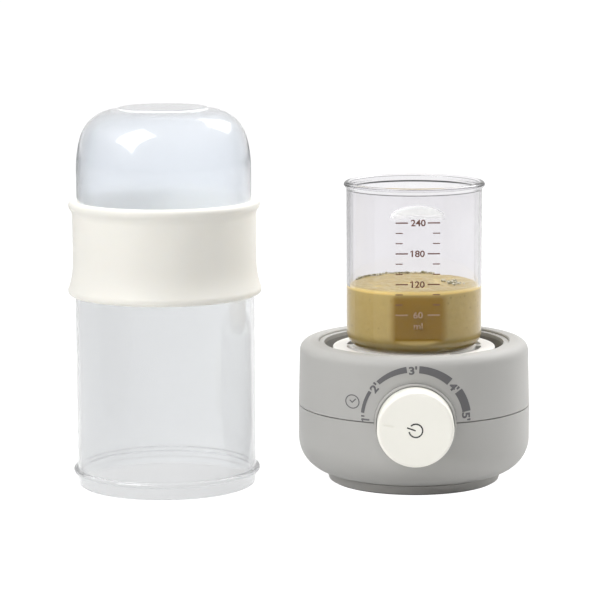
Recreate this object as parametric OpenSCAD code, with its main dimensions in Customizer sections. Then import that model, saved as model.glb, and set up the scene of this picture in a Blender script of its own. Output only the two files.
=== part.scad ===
// Steam bottle warmer: a heated base with a dial knob, a glass beaker on its steam grid,
// and the hood (sleeve, silicone band and dome) standing beside the base.
// Millimetres. The base's axis is Z, the knob faces -Y and the table is z = 0.

/* [Base] */
// Outer radius of the base at its parting line
base_r = 61.5; // [60:0.5:64]
// Height of the base to the top of its mouth ring
base_h = 75; // [74:0.5:79]
// Height of the parting line and of the knob's axis
seam_z = 41; // [39.5:0.5:42.5]
// Rounding of the base's top edge
shoulder_r = 5.5; // [4:0.5:6.5]
// Rounding of the base's lower edge
belly_r = 18; // [15:0.5:19.5]
// How much the upper housing narrows towards its top
draft = 0.7; // [0.2:0.1:1.2]
// Wall thickness of the two housings
wall = 2.4; // [2:0.1:2.8]
// How far the foot stands in from the base's side
foot_in = 16.1; // [15:0.1:18]
// Height of the foot under the lower housing
foot_h = 5; // [4.6:0.2:6]

/* [Mouth] */
// Width of the base's top rim, from its side to the mouth
rim_w = 10.9; // [10:0.1:11.7]
// Depth of the ledge that the hood's bead rests on
step_h = 1.2; // [0.8:0.1:1.6]
// Width of that ledge
ledge_w = 2.8; // [2.4:0.1:3.2]
// Depth of the groove below the ledge
groove_depth = 7.6; // [7:0.2:9]
// Width of the groove between its wall and the steam grid
groove_w = 4.6; // [4.4:0.1:5.2]
// Height of the steam grid above the groove's floor
grid_h = 5.6; // [5:0.2:6.4]
// Depth of the water bowl
bowl_depth = 12; // [10:0.5:13.5]

/* [Knob] */
// Radius of the knob
knob_r = 19.75; // [18:0.25:21]
// How far the knob's face stands in front of the base
knob_proud = 14.5; // [13:0.5:18]
// Travel of the knob when it is pressed
press_travel = 1.5; // [1:0.1:2]
// Radius of the knob's shaft
shaft_r = 3; // [2.5:0.1:3.2]

/* [Beaker] */
// Outer radius of the glass beaker
beaker_r = 35.9; // [34:0.1:37]
// Height of the beaker
beaker_h = 88; // [80:0.5:95]
// Thickness of the glass wall
glass = 1.7; // [1.4:0.1:2.2]
// Outer rounding of the beaker's lower edge
beaker_corner = 8; // [6:0.5:10]
// Depth of the flat moulded behind the measuring scale
panel_depth = 2.4; // [1.6:0.1:2.8]
// How far the beaker is turned on its stand
beaker_turn = 2.6; // [0:0.1:10]
// Height of the puree inside the beaker
fill_h = 31; // [15:1:60]

/* [Hood] */
// Gap between the base and the hood's band
hood_gap = 19.2; // [14:0.1:38]
// Place of the hood's axis towards the front
hood_y = -11.5; // [-25:0.5:10]
// Height of the sleeve
sleeve_h = 126; // [112:0.5:135]
// Wall thickness of the sleeve and the dome
hood_wall = 1.7; // [1.4:0.1:2]
// Height of the silicone band
band_h = 50; // [44:0.5:54]
// How far the band's waist stands in from its lower lip
band_waist = 2.6; // [1.6:0.1:3]
// Height of the dome above the band's rib
dome_h = 71.6; // [62:0.2:80]
// Rounding of the dome's top edge
dome_corner = 20; // [15:0.5:22]

/* [Hidden] */
$fn = 96;

// Clearances
seam_gap = 0.5;
snap_gap = 0.25;
slip = 0.15;
running = 0.05;
bead_gap = 1;
skirt_gap = 0.5;
lift_gap = 0.3;
screw_room = 0.25;
// How far a cut runs past the face that it goes through
over = 5;

// Levels of the mouth, counted down from the top
ledge_z = base_h - step_h;
ledge_t = 2;
ledge_low = ledge_z - ledge_t;
floor_z = ledge_z - groove_depth;
floor_t = 2;
floor_low = floor_z - floor_t;
gasket_t = 1.2;
sheet = 1;
flange_low = floor_low - gasket_t - sheet;
bowl_low = flange_low + sheet - bowl_depth - sheet;
clamp_t = 1.2;
clamp_low = flange_low - clamp_t;
grid_top = floor_z + grid_h;

// Radii of the mouth, counted in from the base's side
mouth_r = base_r - rim_w;
mouth_edge = 0.5;
groove_r = mouth_r - ledge_w;
well_wall = 2;
grid_r = groove_r - groove_w;
bowl_in = 5.6;
bowl_r = grid_r - bowl_in;
flange_w = 5.4;
flange_r = bowl_r + flange_w;
bowl_corner = 5;
bowl_room = 0.6;
gasket_in = 1.4;

// Screws, and those that hold the well and the bowl under the upper housing
screw_r = 1.45;
head_r = 2.5;
head_h = 1.8;
cross_l = 3.2;
cross_w = 0.7;
cross_d = 0.8;
boss_r = 3.3;
tie_depth = 4;
ear_r = 4;
clamp_ear_r = 3.5;
clamp_lip = 2.2;
tie_r = (mouth_r + base_r - draft) / 2;
tie_limit = base_r - draft - wall - lift_gap;
tie_angles = [90, 210, 330];

// Parting line, lip and belly of the housings
seam_top = seam_z + seam_gap / 2;
seam_low = seam_z - seam_gap / 2;
lip_t = 1.4;
lip_r = base_r - wall - snap_gap;
lip_h = 4;
lip_root = 4;
snap_z = seam_z + 1.8;
snap_t = 0.5;
snap_h = 1.2;
snap_room = 0.3;
belly_x = base_r - belly_r;
belly_z = foot_h + belly_r;

// Foot
foot_r = base_r - foot_in;
foot_low = 0.6;
foot_t = 2.2;
foot_wall = 2.4;
foot_draft = 1.2;
pad_r = foot_r - foot_wall;
pad_w = 2.8;
pad_top = 1.6;
foot_screw_in = 7.4;
foot_screw_r = foot_r - foot_screw_in;
foot_boss_r = 4.6;
post_h = 10.5;
bite = 8;
hatch_in = 12.4;
hatch_r = foot_r - hatch_in;
spigot_t = 2.2;
spigot_h = 4;
foot_angles = [45, 135, 225, 315];

// Knob train, as distances in front of the base's axis
knob_gap = 0.4;
bezel_lip = 1.05;
bezel_r = knob_r + knob_gap + bezel_lip;
bezel_proud = 1.4;
bezel_front = base_r + bezel_proud;
knob_sink = 0.6;
knob_room = 1.1;
bezel_floor = bezel_front - knob_sink - press_travel - knob_room;
bezel_t = 2.5;
bezel_skirt = 1.8;
bezel_d = 8.6;
bezel_back = bezel_front - bezel_d;
knob_front = base_r + knob_proud;
knob_back = bezel_front - knob_sink;
knob_wall = 2;
knob_face = 2.4;
knob_edge = 1.8;
knob_rib = 1.2;
knob_rib_h = 7;
pointer_l = 5;
pointer_w = 0.8;
pointer_d = 0.4;
pointer_in = 3.4;
pointer_angle = 171;
bush_t = 0.5;
bush_r = shaft_r + bush_t;
nut_t = 2;
nut_w = 2.2;
bush_proud = 0.5;
bush_front = bezel_floor + nut_t + bush_proud;
hub_gap = 0.6;
hub_back = bush_front + press_travel + hub_gap;
hub_w = 2.2;
hub_r = shaft_r + hub_w;
encoder_front = bezel_floor - bezel_t;
encoder_d = 9;
encoder_w = 12.4;
encoder_h = 13.2;
encoder_wall = 0.8;
board_front = encoder_front - encoder_d;
board_t = 1.6;
board_back = board_front - board_t;
plunger_t = 1.4;
plunger_gap = 0.1;
switch_d = 1.5;
shaft_back = board_front + press_travel + switch_d + plunger_gap + plunger_t;
shaft_end = 0.4;
shaft_front = knob_front - knob_face - shaft_end;
flat_x = shaft_r / 2;

// Control board and what it carries
board_side = 3.3;
board_half = bezel_r + board_side;
board_lift = 6.6;
board_low = foot_h + wall + board_lift;
board_rise = 13;
board_top = seam_z + board_rise;
board_hole_in = 6;
board_hole_low = 5;
board_hole_r = 1.6;
rail_w = 5;
rail_d = 2;
rail_drop = 7;
slot_d = 2.2;
relay_d = 12;
relay_h = 20;
relay_lift = 1;
relay_gap = 1.5;
tag_d = 7;
tag_w = 8;
part_x = 14;
part_rise = 5;
part_z = seam_z + part_rise;
buzzer_r = 6;
buzzer_h = 6;
capacitor_r = 5;
capacitor_h = 9;

// Heater under the bowl and its leads
heater_in = 10.6;
heater_r = bowl_r - heater_in;
tube_r = 3.2;
tube_sink = 0.6;
heater_z = bowl_low - tube_r + tube_sink;
heater_span = 300;
leg_in = 0.5;
leg_h = 7;
leg_rise = 1.2;
pin_r = 1.2;
pin_l = 5;
pin_root = 1;
elbow_low = heater_z - leg_h;
pin_low = elbow_low - pin_l;
socket_r = 2.1;
socket_end = 2;
socket_gap = 1;
pin_gap = 0.1;
sleeve_low = pin_low - socket_end;
lead_r = 0.9;
lead_bend = 5;
lead_drop = 0.5;
lead_z = sleeve_low - lead_bend - lead_drop;
tag_x = heater_r * sin((360 - heater_span) / 2);
tag_y = -heater_r * cos((360 - heater_span) / 2);
relay_w = 2 * (tag_x - tag_w / 2 - relay_gap);

// Thermostat and thermal fuse under the bowl
stat_r = 8.5;
stat_t = 2;
stat_body_r = 7;
stat_body_h = 6;
stat_root = 0.5;
spade_x = 4.5;
spade_t = 0.8;
spade_w = 4.8;
spade_l = 7;
spade_root = 1;
fuse_y = 15.4;
fuse_r = 2;
fuse_l = 12;
strap_l = 14;
strap_w = 4;
strap_t = 1;
strap_sink = 0.2;

// Cord gland at the back
gland_rise = 4;
gland_z = belly_z + gland_rise;
gland_bore = 3.3;
gland_neck = 4.7;
gland_flange = 7;
gland_sink = 1;
gland_seat = base_r - gland_sink;
gland_t = 2.2;
gland_edge = 1;
gland_lock_t = 1.8;
gland_lock_in = 0.8;
gland_inner = sqrt(pow(base_r - wall, 2) - pow(gland_flange, 2)) - slip;

// Beaker
beaker_z = grid_top;
glass_floor = 3;
bore_r = beaker_r - glass;
bore_corner = beaker_corner - glass;
rim_r = 1.6;
rim_in = 0.25;
rim_root = 1;
rim_z = beaker_h - rim_r;
panel_low = 7.4;
panel_end = 15.6;
panel_top = beaker_h - panel_end;
panel_rise = 6.5;
panel_fall = 2.6;
fill_gap = 0.05;

// Steam grid
grid_edge = 0.8;
grid_plate = 2.2;
grid_wall = 1.8;
grid_rib = 1.4;
grid_hub = 11;
grid_hub_t = 1.6;
rib_root = 0.4;
slot_in = 8.9;
slot_r = grid_r - slot_in;
slot_w = 3.4;
slot_round = 0.1;
slot_span = 50;

// Hood
sleeve_r = groove_r - skirt_gap;
skirt_room = 1.1;
skirt_h = groove_depth - skirt_room;
skirt_in = 1.1;
skirt_thin = 0.3;
bead_r = mouth_r - bead_gap;
bead_t = 2.6;
bead_root = 0.5;
neck_in = 1.6;
neck_r = sleeve_r - neck_in;
rib_t = 1.5;
band_low = sleeve_h + rib_t / 2 - band_h / 2;
band_top = band_low + band_h;
band_seat = 5;
neck_z = band_low + band_seat;
neck_thick = 0.7;
neck_gap = 0.1;
lip_low_r = 1.95;
lip_top_r = 2.7;
lip_w = 5.3;
lip_out = neck_r + lip_w;
lip_back = 0.6;
lip_hollow = 7;
lip_land = 1;
flare_h = 14.3;
hood_x = -(base_r + hood_gap + lip_out);
dome_out = 0.3;
dome_r = neck_r + dome_out;
dome_low = sleeve_h + rib_t;
dome_top = dome_low + dome_h;
dome_soft = 60;
dome_soft_angle = asin(7 / 25);
dome_soft_x = dome_r - dome_soft;
dome_soft_z = dome_top - dome_corner - (dome_soft - dome_corner) * sin(dome_soft_angle);
dome_corner_x = dome_soft_x + (dome_soft - dome_corner) * cos(dome_soft_angle);
disc_in = 0.9;
disc_r = dome_corner_x - disc_in;
disc_t = 0.4;

// Placing helpers

// Turns its children so that they stand along the knob's axis, counted forward from the base's axis
module along_front() {
  translate([0, 0, seam_z]) rotate([90, 0, 0]) children();
}

// Turns its children so that they stand along the cord's axis, counted backward from the base's axis
module along_back() {
  translate([0, 0, gland_z]) rotate([-90, 0, 0]) children();
}

// Repeats its children at a radius and a list of angles
module around(radius, angles) {
  for (a = angles) rotate(a) translate([radius, 0, 0]) children();
}

// Moves its children to the hood's place beside the base
module at_hood() {
  translate([hood_x, hood_y, 0]) children();
}

// A ring of plain rectangular section
module ring(inner, outer, low, top) {
  rotate_extrude() translate([inner, low]) square([outer - inner, top - low]);
}

// Half section of the upper housing's outside, moved in by an inset
module upper_form(inset, low) {
  centre = base_r - draft - shoulder_r;
  side = base_r - inset;
  polygon([[0, low], [side, low], [side - draft, base_h - shoulder_r], [centre, base_h - inset],
           [0, base_h - inset]]);
  translate([centre, base_h - shoulder_r]) circle(r = shoulder_r - inset);
}

// Half section of the lower housing's outside, moved in by an inset
module lower_form(inset, top) {
  side = base_r - inset;
  polygon([[0, foot_h + inset], [belly_x, foot_h + inset], [side, belly_z], [side, top], [0, top]]);
  translate([belly_x, belly_z]) circle(r = belly_r - inset);
}

// Half section of a cup with a rounded lower edge
module cup_form(radius, corner, low, top) {
  translate([0, low]) square([radius - corner, top - low]);
  translate([0, low + corner]) square([radius, top - low - corner]);
  translate([radius - corner, low + corner]) circle(r = corner);
}

// Half section of the dome, moved in by an inset: a straight side, a soft curve and the corner's curve
module dome_form(inset, low) {
  side = dome_r - inset;
  corner_z = dome_top - dome_corner;
  join_x = dome_soft_x + (dome_soft - inset) * cos(dome_soft_angle);
  join_z = dome_soft_z + (dome_soft - inset) * sin(dome_soft_angle);
  polygon([[0, low], [side, low], [side, dome_soft_z], [join_x, join_z], [dome_corner_x, dome_top - inset],
           [0, dome_top - inset]]);
  intersection() {
    translate([dome_soft_x, dome_soft_z]) circle(r = dome_soft - inset, $fn = 360);
    polygon([[0, dome_soft_z], [side, dome_soft_z], [side, join_z], [join_x, join_z]]);
  }
  intersection() {
    translate([dome_corner_x, corner_z]) circle(r = dome_corner - inset);
    polygon([[dome_corner_x, corner_z], [join_x, join_z], [side, dome_top], [dome_corner_x, dome_top]]);
  }
}

// The space in front of the flat behind the scale, moved in by an inset, with a slope above and below
module panel_space(inset) {
  front = beaker_r - panel_depth - inset;
  low = beaker_z + panel_low;
  top = beaker_z + panel_top;
  reach = 1.5;
  rotate([90, 0, 90 + beaker_turn]) translate([0, 0, -beaker_r]) linear_extrude(height = 2 * beaker_r)
    polygon([[-front, low], [-front, top], [-front - reach * panel_depth, top + reach * panel_rise],
             [-front - reach * panel_depth, low - reach * panel_fall]]);
}

// The opening for the knob's bezel through the front wall
module bezel_hole() {
  depth = bezel_front - bezel_back + 2 * over;
  along_front() translate([0, 0, bezel_back - over]) cylinder(r = bezel_r + slip, h = depth);
}

// Pieces of the base

module upper_housing() color("#b4b4b1") {
  difference() {
    union() {
      rotate_extrude() difference() {
        upper_form(0, seam_top);
        difference() {
          upper_form(wall, seam_top - over);
          translate([0, ledge_low]) square([mouth_r + wall, base_h]);
        }
        // ledge for the hood's bead, with a broken edge round the mouth
        translate([0, ledge_z]) square([mouth_r, base_h]);
        translate([0, seam_z - over]) square([groove_r, base_h]);
        polygon([[mouth_r - over, base_h - mouth_edge], [mouth_r, base_h - mouth_edge],
                 [mouth_r + mouth_edge, base_h], [mouth_r + mouth_edge, base_h + over],
                 [mouth_r - over, base_h + over]]);
        // groove that the lower housing's snap bead clicks into
        translate([base_r - wall - over, snap_z - snap_room])
          square([over + snap_t + slip, snap_h + 2 * snap_room]);
      }
      around(tie_r, tie_angles) translate([0, 0, floor_z])
        cylinder(r = boss_r, h = base_h - 0.8 * wall - floor_z);
    }
    around(tie_r, tie_angles) translate([0, 0, floor_z - over])
      cylinder(r = screw_r + running, h = over + tie_depth + lift_gap);
    bezel_hole();
  }
}

module lower_housing() color("#aeaeab") {
  difference() {
    union() {
      rotate_extrude() difference() {
        union() {
          difference() {
            lower_form(0, seam_low);
            lower_form(wall, seam_low + over);
          }
          // lip inside the parting line, with its snap bead
          translate([lip_r - lip_t, seam_low - lip_root]) square([lip_t + snap_gap + wall / 2, lip_root]);
          translate([lip_r - lip_t, seam_low - lip_root]) square([lip_t, lip_h + lip_root]);
          translate([lip_r - lip_t / 2, snap_z]) square([lip_t / 2 + snap_t, snap_h]);
        }
        square([hatch_r, foot_h + wall + over]);
      }
      // posts for the foot's screws
      around(foot_screw_r, foot_angles) translate([0, 0, foot_h + wall / 2])
        cylinder(r = boss_r, h = post_h - wall / 2);
      board_rails();
    }
    around(foot_screw_r, foot_angles) translate([0, 0, foot_h - over])
      cylinder(r = screw_r + running, h = over + bite + lift_gap);
    bezel_hole();
    // seat and hole of the cord's gland
    along_back() translate([0, 0, gland_seat]) cylinder(r = gland_flange + slip, h = over);
    along_back() translate([0, 0, gland_inner - over])
      cylinder(r = gland_neck + slip, h = base_r - gland_inner + 2 * over);
  }
}

// Two upright rails of the lower housing that hold the board by its edges
module board_rails() {
  inside = board_half - slot_d;
  size = [rail_w, board_t + 2 * rail_d, seam_z - rail_drop - foot_h];
  slot = [2 * (board_half + slip), board_t + 2 * slip, board_top];
  intersection() {
    difference() {
      for (side = [-1, 1]) {
        translate([side * (inside + rail_w / 2) - rail_w / 2, -board_front - rail_d, foot_h]) cube(size);
      }
      translate([-board_half - slip, -board_front - slip, board_low]) cube(slot);
    }
    rotate_extrude() lower_form(wall / 2, seam_low);
  }
}

module foot_plate() color("#6b6b69") {
  difference() {
    union() {
      rotate_extrude() difference() {
        polygon([[0, foot_low], [foot_r, foot_low], [foot_r + foot_draft, foot_h], [0, foot_h]]);
        polygon([[0, foot_low + foot_t], [foot_r - foot_wall, foot_low + foot_t],
                 [foot_r - foot_wall + foot_draft, foot_h + over], [0, foot_h + over]]);
        translate([pad_r - pad_w / 2, 0]) square([pad_w, pad_top]);
      }
      // spigot that centres the plate in the lower housing
      ring(hatch_r - slip - spigot_t, hatch_r - slip, foot_low + foot_t / 2, foot_h + spigot_h);
      around(foot_screw_r, foot_angles) translate([0, 0, foot_low + foot_t / 2])
        cylinder(r = foot_boss_r, h = foot_h - foot_low - foot_t / 2);
    }
    around(foot_screw_r, foot_angles) {
      translate([0, 0, -over]) cylinder(r = screw_r + screw_room, h = foot_h + 2 * over);
      translate([0, 0, -over]) cylinder(r = head_r + 3 * screw_room, h = over + foot_low + foot_t);
    }
  }
}

module foot_ring() color("#3a3a3a") {
  ring(pad_r - pad_w / 2 + running, pad_r + pad_w / 2 - running, 0, pad_top);
}

module foot_screws() color("#9a9c9e") {
  around(foot_screw_r, foot_angles) {
    head_top = foot_low + foot_t;
    screw_head(head_top);
    translate([0, 0, head_top - head_h / 4])
      cylinder(r = screw_r, h = foot_h + bite - head_top + head_h / 4);
  }
}

// A screw's head that faces down, with its cross recess
module screw_head(top) {
  low = top - head_h;
  difference() {
    translate([0, 0, low]) cylinder(r = head_r, h = head_h);
    for (a = [0, 90]) rotate(a) translate([-cross_l / 2, -cross_w / 2, low - over])
      cube([cross_l, cross_w, over + cross_d]);
  }
}

module steam_well() color("#8f8f8c") {
  difference() {
    union() {
      rotate_extrude() {
        translate([groove_r, floor_low]) square([well_wall, ledge_low - floor_low]);
        translate([bowl_r + bowl_room, floor_low])
          square([groove_r + well_wall / 2 - bowl_r - bowl_room, floor_t]);
      }
      // ears that the screws pass through
      for (a = tie_angles) rotate(a) {
        translate([groove_r + well_wall / 2, -ear_r, flange_low])
          cube([tie_r - groove_r - well_wall / 2, 2 * ear_r, floor_z - flange_low]);
        translate([tie_r, 0, flange_low]) cylinder(r = ear_r, h = floor_z - flange_low);
      }
    }
    around(tie_r, tie_angles) translate([0, 0, flange_low - over])
      cylinder(r = screw_r + screw_room, h = floor_z - flange_low + 2 * over);
    ear_limit(flange_low, floor_z);
  }
}

// What lies beyond the upper housing's inner wall, where the ears have to end
module ear_limit(low, top) {
  difference() {
    translate([0, 0, low - over]) cylinder(r = base_r + over, h = top - low + 2 * over);
    translate([0, 0, low - 2 * over]) cylinder(r = tie_limit, h = top - low + 4 * over);
  }
}

module bowl_gasket() color("#d8d4cc") {
  ring(bowl_r + gasket_in, flange_r, floor_low - gasket_t, floor_low);
}

module steam_bowl() color("#c9cbcd") {
  top = flange_low + sheet;
  rotate_extrude() difference() {
    union() {
      cup_form(bowl_r + sheet, bowl_corner + sheet, bowl_low, top);
      translate([0, flange_low]) square([flange_r, sheet]);
    }
    cup_form(bowl_r, bowl_corner, bowl_low + sheet, top + over);
  }
}

module bowl_clamp() color("#b9bcbe") {
  inner = bowl_r + sheet + bowl_room;
  difference() {
    union() {
      rotate_extrude() {
        translate([inner, clamp_low]) square([flange_r + clamp_t - inner, clamp_t]);
        translate([inner, clamp_low - clamp_lip]) square([clamp_t, clamp_lip + clamp_t / 2]);
      }
      for (a = tie_angles) rotate(a) {
        translate([flange_r, -clamp_ear_r, clamp_low])
          cube([tie_r - flange_r, 2 * clamp_ear_r, clamp_t]);
        translate([tie_r, 0, clamp_low]) cylinder(r = clamp_ear_r, h = clamp_t);
      }
    }
    around(tie_r, tie_angles) translate([0, 0, clamp_low - over])
      cylinder(r = screw_r + screw_room, h = clamp_t + 2 * over);
    ear_limit(clamp_low, flange_low);
  }
}

module clamp_screws() color("#9a9c9e") {
  around(tie_r, tie_angles) {
    screw_head(clamp_low);
    translate([0, 0, clamp_low - head_h / 4])
      cylinder(r = screw_r, h = floor_z + tie_depth - clamp_low + head_h / 4);
  }
}

module heater() color("#7c7d7f") {
  difference() {
    union() {
      rotate(heater_span) rotate_extrude(angle = heater_span)
        translate([heater_r, heater_z]) circle(r = tube_r);
      for (side = [-1, 1]) translate([side * tag_x, tag_y, 0]) {
        translate([0, 0, elbow_low]) cylinder(r = tube_r - leg_in, h = heater_z + leg_rise - elbow_low);
        translate([0, 0, pin_low]) cylinder(r = pin_r, h = elbow_low - pin_low + pin_root);
      }
    }
    // pressed flat where it is brazed to the bowl
    translate([-base_r, -base_r, bowl_low]) cube([2 * base_r, 2 * base_r, over]);
  }
}

module thermostat() color("#d6d2c4") {
  body_low = bowl_low - stat_t - stat_body_h;
  translate([0, 0, bowl_low - stat_t]) cylinder(r = stat_r, h = stat_t);
  translate([0, 0, body_low]) cylinder(r = stat_body_r, h = stat_body_h + stat_root);
  for (side = [-1, 1]) {
    translate([side * spade_x - spade_t / 2, -spade_w / 2, body_low - spade_l])
      cube([spade_t, spade_w, spade_l + spade_root]);
  }
}

module thermal_fuse() color("#c2c4c6") {
  translate([-strap_l / 2, fuse_y - strap_w / 2, bowl_low - strap_t]) cube([strap_l, strap_w, strap_t]);
  translate([-fuse_l / 2, fuse_y, bowl_low - strap_t - fuse_r + strap_sink]) rotate([0, 90, 0])
    cylinder(r = fuse_r, h = fuse_l);
}

module heater_leads() color("#a03a34") {
  for (side = [-1, 1]) translate([side * tag_x, tag_y, 0]) {
    reach = board_back - tag_d + tag_y - lead_bend;
    difference() {
      translate([0, 0, sleeve_low]) cylinder(r = socket_r, h = elbow_low - socket_gap - sleeve_low);
      translate([0, 0, pin_low - pin_gap]) cylinder(r = pin_r + running, h = pin_l + over);
    }
    translate([0, 0, lead_z + lead_bend - 0.01])
      cylinder(r = lead_r, h = sleeve_low - lead_z - lead_bend + lead_drop);
    translate([0, -lead_bend, lead_z + lead_bend]) rotate([90, 0, 90]) rotate(-90)
      rotate_extrude(angle = 90) translate([lead_bend, 0]) circle(r = lead_r);
    translate([0, -lead_bend + 0.01, lead_z]) rotate([90, 0, 0]) cylinder(r = lead_r, h = reach);
  }
}

module control_board() color("#2f6b46") {
  difference() {
    translate([-board_half, -board_front, board_low])
      cube([2 * board_half, board_t, board_top - board_low]);
    for (side = [-1, 1]) {
      translate([side * (board_half - board_hole_in), -board_front - over, board_top - board_hole_low])
        rotate([-90, 0, 0]) cylinder(r = board_hole_r, h = board_t + 2 * over);
    }
  }
}

module board_parts() color("#3b3d42") {
  // relay, the two spade terminals, a buzzer and a capacitor
  translate([-relay_w / 2, -board_back, board_low + relay_lift]) cube([relay_w, relay_d, relay_h]);
  for (side = [-1, 1]) {
    translate([side * tag_x - tag_w / 2, -board_back, lead_z - tag_w / 2]) cube([tag_w, tag_d, tag_w]);
  }
  translate([-part_x, -board_back, part_z]) rotate([-90, 0, 0]) cylinder(r = buzzer_r, h = buzzer_h);
  translate([part_x, -board_back, part_z]) rotate([-90, 0, 0]) cylinder(r = capacitor_r, h = capacitor_h);
}

module cord_gland() color("#3a3a3a") {
  along_back() rotate_extrude() difference() {
    union() {
      translate([0, gland_inner - gland_lock_t]) square([gland_flange - gland_lock_in, gland_lock_t]);
      translate([0, gland_inner - gland_lock_t / 2])
        square([gland_neck, gland_seat - gland_inner + gland_lock_t / 2 + gland_t / 2]);
      polygon([[0, gland_seat], [gland_flange, gland_seat],
               [gland_flange, gland_seat + gland_t - gland_edge],
               [gland_flange - gland_edge, gland_seat + gland_t], [0, gland_seat + gland_t]]);
    }
    translate([0, gland_inner - over]) square([gland_bore, gland_seat - gland_inner + 2 * over]);
  }
}

// Knob train

module knob_bezel() color("#bdbdba") {
  soft = bezel_lip / 2;
  along_front() rotate_extrude() difference() {
    union() {
      translate([0, bezel_back]) square([bezel_r, bezel_d - soft]);
      translate([0, bezel_back]) square([bezel_r - soft, bezel_d]);
      translate([bezel_r - soft, bezel_front - soft]) circle(r = soft);
    }
    translate([0, bezel_floor]) square([bezel_r - bezel_lip, bezel_d]);
    translate([0, bezel_back - over]) square([bezel_r - bezel_skirt, encoder_front - bezel_back + over]);
    translate([0, bezel_back - over]) square([bush_r + 2 * running, bezel_d + 2 * over]);
  }
}

module encoder() color("#53585c") {
  along_front() difference() {
    union() {
      translate([-encoder_w / 2, -encoder_h / 2, board_front]) cube([encoder_w, encoder_h, encoder_d]);
      translate([0, 0, board_front + encoder_d / 2])
        cylinder(r = bush_r, h = bush_front - board_front - encoder_d / 2);
    }
    translate([0, 0, board_front + encoder_wall])
      cylinder(r = shaft_r + running, h = knob_front - board_front);
  }
}

module encoder_nut() color("#b9bcbe") {
  along_front() translate([0, 0, bezel_floor]) difference() {
    cylinder(r = bush_r + nut_w, h = nut_t, $fn = 6);
    translate([0, 0, -over]) cylinder(r = bush_r + running, h = nut_t + 2 * over);
  }
}

module switch_plunger() color("#e4e0d4") {
  along_front() translate([0, 0, shaft_back - plunger_t - plunger_gap])
    cylinder(r = shaft_r - running, h = plunger_t);
}

module knob_shaft() color("#c9cbcd") {
  along_front() difference() {
    translate([0, 0, shaft_back]) cylinder(r = shaft_r, h = shaft_front - shaft_back);
    translate([flat_x, -knob_r, hub_back]) cube([knob_r, 2 * knob_r, knob_front]);
  }
}

module knob() color("#f3f2ea") {
  edge = knob_edge;
  along_front() difference() {
    union() {
      rotate_extrude() {
        difference() {
          union() {
            translate([0, knob_back]) square([knob_r, knob_front - edge - knob_back]);
            translate([0, knob_back]) square([knob_r - edge, knob_front - knob_back]);
            translate([knob_r - edge, knob_front - edge]) circle(r = edge);
          }
          translate([0, knob_back - over])
            square([knob_r - knob_wall, knob_front - knob_face - knob_back + over]);
        }
        translate([0, hub_back]) square([hub_r, knob_front - knob_face / 2 - hub_back]);
      }
      // ribs from the hub to the rim, under the face
      for (a = [30:60:330]) rotate(a) {
        translate([(shaft_r + hub_r) / 2, -knob_rib / 2, knob_front - knob_face / 2 - knob_rib_h])
          cube([knob_r - knob_wall / 2 - (shaft_r + hub_r) / 2, knob_rib, knob_rib_h]);
      }
    }
    // bore with the shaft's flat
    difference() {
      translate([0, 0, hub_back - over])
        cylinder(r = shaft_r + running, h = shaft_front - hub_back + over + running);
      translate([flat_x + running, -knob_r, hub_back - 2 * over]) cube([knob_r, 2 * knob_r, knob_front]);
    }
    // pointer line in the face
    rotate(pointer_angle) translate([knob_r - pointer_in - pointer_l, -pointer_w / 2, knob_front - pointer_d])
      cube([pointer_l, pointer_w, over]);
  }
}

// Lift-out pieces of the base

module steam_grid() color("#f5f2f0") {
  edge = grid_edge;
  plate_low = grid_top - grid_plate;
  difference() {
    union() {
      rotate_extrude() difference() {
        union() {
          translate([0, floor_z]) square([grid_r, grid_h - edge]);
          translate([0, floor_z]) square([grid_r - edge, grid_h]);
          translate([grid_r - edge, grid_top - edge]) circle(r = edge);
        }
        translate([0, floor_z - over]) square([grid_r - grid_wall, grid_h - grid_plate + over]);
      }
      // stiffening ribs under the plate
      for (a = [0:60:300]) rotate(a) {
        translate([grid_hub + grid_hub_t / 2, -grid_rib / 2, plate_low - grid_rib])
          cube([grid_r - grid_wall / 2 - grid_hub - grid_hub_t / 2, grid_rib, grid_rib + rib_root]);
      }
      ring(grid_hub, grid_hub + grid_hub_t, plate_low - grid_rib, plate_low + rib_root);
    }
    // steam slots round the beaker's foot
    for (a = [30:60:330]) rotate(a - slot_span / 2) translate([0, 0, plate_low - over]) {
      rotate_extrude(angle = slot_span) translate([slot_r - slot_w / 2, 0])
        square([slot_w, grid_plate + 2 * over]);
      for (end = [0, slot_span]) rotate(end) translate([slot_r, 0, 0])
        cylinder(r = slot_w / 2 - slot_round, h = grid_plate + 2 * over);
    }
  }
}

module beaker() color("#dfe8ec") {
  difference() {
    rotate_extrude() {
      cup_form(beaker_r, beaker_corner, beaker_z, beaker_z + rim_z);
      translate([beaker_r - rim_in, beaker_z + rim_z]) circle(r = rim_r);
      translate([0, beaker_z + rim_z - rim_root]) square([beaker_r - rim_in, rim_r + rim_root]);
    }
    panel_space(0);
    difference() {
      rotate_extrude() cup_form(bore_r, bore_corner, beaker_z + glass_floor, beaker_z + beaker_h + over);
      panel_space(glass);
    }
  }
}

module puree() color("#c2a866") {
  low = beaker_z + glass_floor;
  difference() {
    rotate_extrude() cup_form(bore_r - fill_gap, bore_corner, low, low + fill_h);
    panel_space(glass + fill_gap);
  }
}

// Hood standing beside the base

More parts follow.
